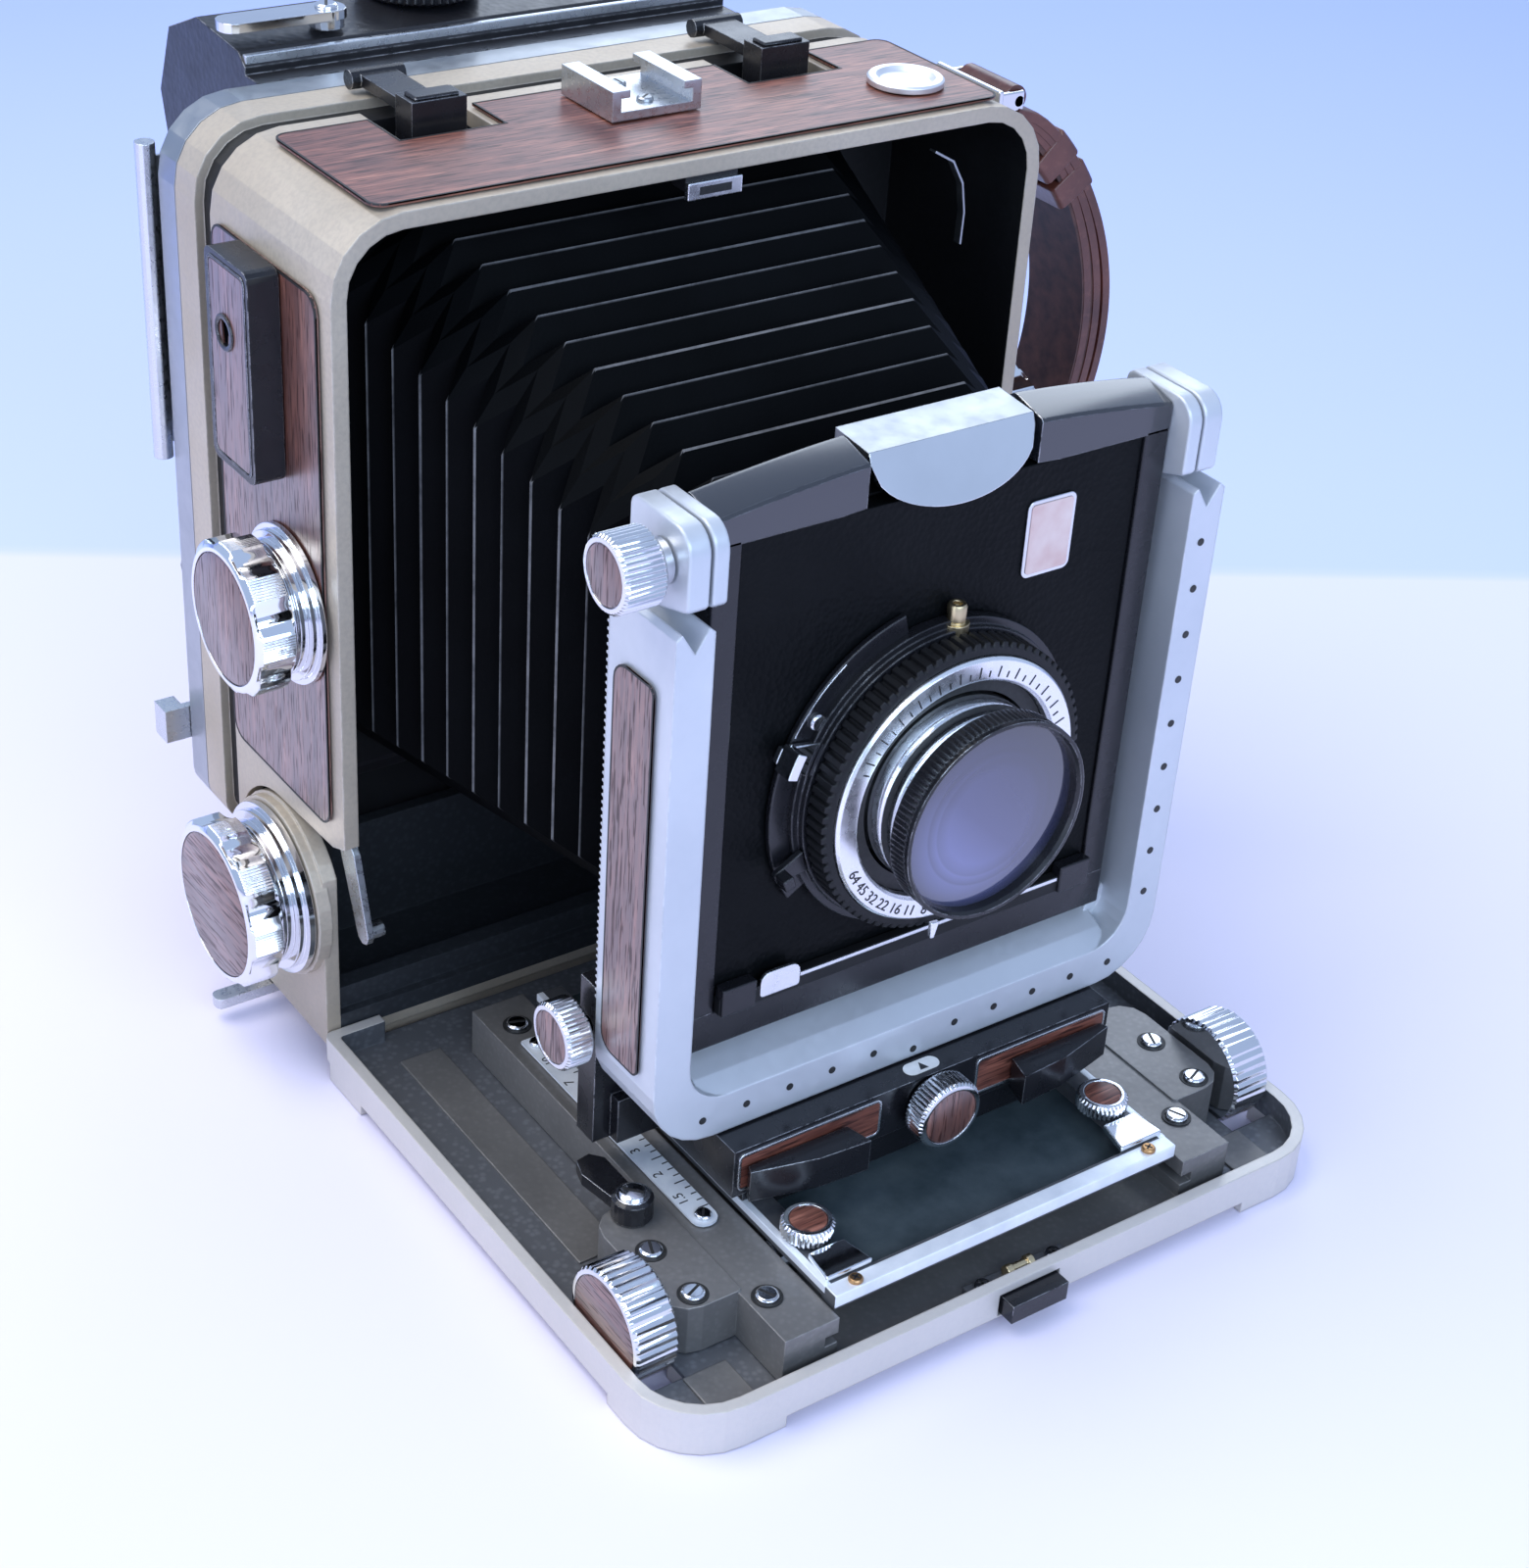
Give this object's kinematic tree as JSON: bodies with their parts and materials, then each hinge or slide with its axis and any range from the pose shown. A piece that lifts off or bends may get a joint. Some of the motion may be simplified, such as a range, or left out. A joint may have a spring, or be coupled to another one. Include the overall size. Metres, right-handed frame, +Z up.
{
  "type": "folding view camera",
  "caption": "Folding metal view camera on an open drop bed, with bellows, a tilting and rising front standard, a shuttered lens, wood trim, hand strap and roll-film holder.",
  "frame": {"origin": "on the underside of the base plate, midway between its sides and 13 mm behind the axis on which the rear body tilts", "axes": "+X to the right seen from the front, the lens looks along -Y, +Z up"},
  "size_m": [0.2239, 0.252, 0.2095],
  "materials": {
    "champagne_paint": "satin pebbled",
    "hammered_grey": "hammered",
    "black_enamel": "gloss",
    "black_crinkle": "wrinkle",
    "chrome": "polished",
    "satin_silver": "satin",
    "rosewood": "oiled",
    "brown_leather": "polished",
    "bellows_cloth": "matt",
    "coated_glass": "coated",
    "scale_silver": "satin"
  },
  "bodies": {
    "base": {"base_plate": "champagne_paint", "base_casting": "champagne_paint"},
    "tilt_lock_left": {"tilt_lock_knob_left": "chrome"},
    "tilt_lock_right": {"tilt_lock_knob_right": "chrome"},
    "swing_lock": {"swing_lock_lever": "satin_silver"},
    "back": {"shell": "champagne_paint", "veneer_top": "rosewood", "veneer_left": "rosewood", "veneer_right": "rosewood", "accessory_shoe": "chrome", "level_disc": "chrome", "side_block": "black_enamel", "hand_strap": "brown_leather", "back_frame": "champagne_paint", "holder_frame": "satin_silver", "roll_holder": "black_crinkle", "bellows": "bellows_cloth"},
    "brace_left": {"strut_left": "chrome"},
    "brace_right": {"strut_right": "chrome"},
    "rear_knob_left": {"swing_knob_left": "chrome"},
    "rear_knob_right": {"swing_knob_right": "chrome"},
    "latch_left": {"top_latch_left": "black_enamel"},
    "latch_right": {"top_latch_right": "black_enamel"},
    "lock_upper": {"back_lock_upper": "chrome"},
    "lock_lower": {"back_lock_lower": "chrome"},
    "film_cover": {"dark_slide": "satin_silver"},
    "wind": {"wind_knob": "black_enamel"},
    "wind_arm": {"wind_lever": "chrome"},
    "bed": {"bed_tray": "champagne_paint", "bed_rails": "hammered_grey", "scale_plate": "scale_silver"},
    "bed_button": {"bed_latch_button": "black_enamel"},
    "track_lock": {"track_lock_lever": "black_enamel"},
    "focus_drive": {"focus_shaft": "chrome", "focus_knob_left": "chrome", "focus_knob_right": "chrome"},
    "track": {"track": "hammered_grey"},
    "stop_left": {"stop_knob_left": "chrome"},
    "stop_right": {"stop_knob_right": "chrome"},
    "carriage": {"carriage": "black_enamel"},
    "swing": {"swing_beam": "black_enamel"},
    "shift_lock": {"shift_lock_knob": "chrome"},
    "wing_left": {"wing_lever_left": "black_enamel"},
    "wing_right": {"wing_lever_right": "black_enamel"},
    "shift": {"shift_slide": "black_enamel"},
    "rise_drive": {"rise_knob": "chrome"},
    "rise": {"u_frame": "satin_silver", "leg_inlay_left": "rosewood", "leg_inlay_right": "rosewood"},
    "lens_frame": {"lens_frame": "black_enamel", "lens_board": "black_crinkle", "shutter_case": "black_enamel", "lens_barrel": "chrome", "front_glass": "coated_glass"},
    "tilt_lock": {"lens_tilt_knob": "chrome"},
    "clip": {"board_clip": "chrome"},
    "speed_ring": {"speed_ring": "black_enamel"},
    "cocking_lever": {"cocking_lever": "chrome"},
    "release_lever": {"release_lever": "chrome"},
    "aperture_lever": {"aperture_lever": "scale_silver"}
  },
  "joints": [
    {"name": "bed_drop", "type": "hinge", "parent": "base", "child": "bed", "pos_m": [0, -0.0312, 0.008], "axis": [1, 0, 0], "range_deg": [0, 15], "deforming": ["bellows"]},
    {"name": "back_tilt", "type": "hinge", "parent": "base", "child": "back", "pos_m": [0, -0.013, 0.0385], "axis": [-1, 0, 0], "range_deg": [-15, 15], "deforming": ["bellows"]},
    {"name": "tilt_lock_left_turn", "type": "hinge", "parent": "base", "child": "tilt_lock_left", "pos_m": [-0.0846, -0.013, 0.0385], "axis": [1, 0, 0], "range_deg": [0, 180]},
    {"name": "tilt_lock_right_turn", "type": "hinge", "parent": "base", "child": "tilt_lock_right", "pos_m": [0.0846, -0.013, 0.0385], "axis": [1, 0, 0], "range_deg": [0, 180]},
    {"name": "swing_lock_turn", "type": "hinge", "parent": "base", "child": "swing_lock", "pos_m": [-0.0808, -0.0025, 0.005], "axis": [0, 0, 1], "range_deg": [0, 25]},
    {"name": "brace_left_swing", "type": "hinge", "parent": "back", "child": "brace_left", "pos_m": [-0.077, -0.034, 0.058], "axis": [-1, 0, 0], "range_deg": [0, 15]},
    {"name": "brace_right_swing", "type": "hinge", "parent": "back", "child": "brace_right", "pos_m": [0.077, -0.034, 0.058], "axis": [-1, 0, 0], "range_deg": [0, 15]},
    {"name": "rear_knob_left_turn", "type": "hinge", "parent": "back", "child": "rear_knob_left", "pos_m": [-0.08355, -0.0225, 0.1114], "axis": [1, 0, 0], "range_deg": [0, 180]},
    {"name": "rear_knob_right_turn", "type": "hinge", "parent": "back", "child": "rear_knob_right", "pos_m": [0.08355, -0.0225, 0.1114], "axis": [1, 0, 0], "range_deg": [0, 180]},
    {"name": "latch_left_open", "type": "hinge", "parent": "back", "child": "latch_left", "pos_m": [-0.0405, 0.02, 0.1982], "axis": [-1, 0, 0], "range_deg": [0, 70]},
    {"name": "latch_right_open", "type": "hinge", "parent": "back", "child": "latch_right", "pos_m": [0.0405, 0.02, 0.1982], "axis": [-1, 0, 0], "range_deg": [0, 70]},
    {"name": "lock_upper_slide", "type": "slide", "parent": "back", "child": "lock_upper", "axis": [1, 0, 0], "range_m": [0, 0.006]},
    {"name": "lock_lower_slide", "type": "slide", "parent": "back", "child": "lock_lower", "axis": [-1, 0, 0], "range_m": [0, 0.006]},
    {"name": "film_cover_slide", "type": "slide", "parent": "back", "child": "film_cover", "axis": [-1, 0, 0], "range_m": [0, 0.09]},
    {"name": "wind_turn", "type": "hinge", "parent": "back", "child": "wind", "pos_m": [-0.01, 0.058, 0.2013], "axis": [0, 0, 1], "continuous": true},
    {"name": "wind_arm_swing", "type": "hinge", "parent": "back", "child": "wind_arm", "pos_m": [-0.038, 0.0455, 0.201], "axis": [0, 0, -1], "range_deg": [0, 100]},
    {"name": "bed_button_press", "type": "slide", "parent": "bed", "child": "bed_button", "axis": [0, 1, 0], "range_m": [0, 0.0015], "stiffness_N_per_m": 800, "springref_m": -0.001},
    {"name": "track_lock_turn", "type": "hinge", "parent": "bed", "child": "track_lock", "pos_m": [-0.0617, -0.1195, 0.01705], "axis": [0, 0, 1], "range_deg": [0, 60]},
    {"name": "focus", "type": "slide", "parent": "bed", "child": "track", "axis": [0, -1, 0], "range_m": [-0.02, 0.04], "deforming": ["bellows"]},
    {"name": "focus_turn", "type": "hinge", "parent": "bed", "child": "focus_drive", "pos_m": [0, -0.139, 0.0122], "axis": [1, 0, 0], "range_deg": [-280, 550]},
    {"name": "stop_left_turn", "type": "hinge", "parent": "track", "child": "stop_left", "pos_m": [-0.0374, -0.144, 0.01965], "axis": [0, 0, 1], "range_deg": [0, 180]},
    {"name": "stop_right_turn", "type": "hinge", "parent": "track", "child": "stop_right", "pos_m": [0.0374, -0.144, 0.01965], "axis": [0, 0, 1], "range_deg": [0, 180]},
    {"name": "carriage_slide", "type": "slide", "parent": "track", "child": "carriage", "axis": [0, 1, 0], "range_m": [0, 0.05], "deforming": ["bellows"]},
    {"name": "front_swing", "type": "hinge", "parent": "carriage", "child": "swing", "pos_m": [0, -0.118, 0.024], "axis": [0, 0, -1], "range_deg": [-15, 15], "deforming": ["bellows"]},
    {"name": "shift_lock_turn", "type": "hinge", "parent": "swing", "child": "shift_lock", "pos_m": [0, -0.13265, 0.0298], "axis": [0, 1, 0], "range_deg": [0, 180]},
    {"name": "wing_left_turn", "type": "hinge", "parent": "swing", "child": "wing_left", "pos_m": [-0.044, -0.134, 0.024], "axis": [0, 0, -1], "range_deg": [0, 35]},
    {"name": "wing_right_turn", "type": "hinge", "parent": "swing", "child": "wing_right", "pos_m": [0.044, -0.134, 0.024], "axis": [0, 0, 1], "range_deg": [0, 35]},
    {"name": "front_shift", "type": "slide", "parent": "swing", "child": "shift", "axis": [1, 0, 0], "range_m": [-0.04, 0.04], "deforming": ["bellows"]},
    {"name": "front_rise", "type": "slide", "parent": "shift", "child": "rise", "axis": [0, 0, 1], "range_m": [0, 0.057], "deforming": ["bellows"]},
    {"name": "rise_knob_turn", "type": "hinge", "parent": "shift", "child": "rise_drive", "pos_m": [-0.0632, -0.102, 0.052], "axis": [1, 0, 0], "range_deg": [-1000, 0]},
    {"name": "front_tilt", "type": "hinge", "parent": "rise", "child": "lens_frame", "pos_m": [0, -0.1155, 0.159], "axis": [1, 0, 0], "range_deg": [-15, 15], "deforming": ["bellows"]},
    {"name": "tilt_lock_turn", "type": "hinge", "parent": "lens_frame", "child": "tilt_lock", "pos_m": [-0.06035, -0.1175, 0.1595], "axis": [1, 0, 0], "range_deg": [0, 180]},
    {"name": "clip_slide", "type": "slide", "parent": "lens_frame", "child": "clip", "axis": [0, 0, 1], "range_m": [0, 0.005]},
    {"name": "speed_turn", "type": "hinge", "parent": "lens_frame", "child": "speed_ring", "pos_m": [0, -0.127, 0.1015], "axis": [0, 1, 0], "range_deg": [0, 200]},
    {"name": "cocking_turn", "type": "hinge", "parent": "lens_frame", "child": "cocking_lever", "pos_m": [0, -0.1215, 0.1015], "axis": [0, 1, 0], "range_deg": [0, 40]},
    {"name": "release_turn", "type": "hinge", "parent": "lens_frame", "child": "release_lever", "pos_m": [0, -0.1225, 0.1015], "axis": [0, -1, 0], "range_deg": [0, 12]},
    {"name": "aperture_turn", "type": "hinge", "parent": "lens_frame", "child": "aperture_lever", "pos_m": [0, -0.1315, 0.1015], "axis": [0, 1, 0], "range_deg": [0, 60]}
  ],
  "couplings": [
    {"joint": "focus_turn", "follows": "focus", "rad_per_m": 238.1},
    {"joint": "rise_knob_turn", "follows": "front_rise", "rad_per_m": -303.03}
  ]
}
